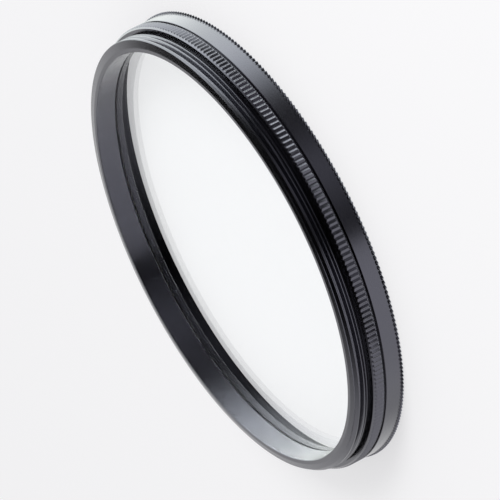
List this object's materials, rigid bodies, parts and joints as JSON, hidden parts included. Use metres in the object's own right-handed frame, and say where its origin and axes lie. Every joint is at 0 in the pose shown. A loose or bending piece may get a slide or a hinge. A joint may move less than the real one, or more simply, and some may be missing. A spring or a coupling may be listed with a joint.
{
  "type": "ultraviolet lens filter",
  "caption": "Slim black filter ring with a clear disc, a male lens thread behind a knurled collar, a smooth band and a serrated front rim with a female thread.",
  "frame": {"origin": "on the optical axis, in the plane of the front rim", "axes": "+Z along the optical axis towards the lens, so the male thread is on top; the notches of the retaining ring lie on X"},
  "size_m": [0.06, 0.06, 0.0064],
  "materials": {
    "black_anodise": "satin black anodised",
    "coated_glass": "clear, polished, with a faint anti-reflection coating"
  },
  "bodies": {
    "root": {"mount_ring": "black_anodise", "retaining_ring": "black_anodise", "uv_glass": "coated_glass"}
  },
  "joints": []
}
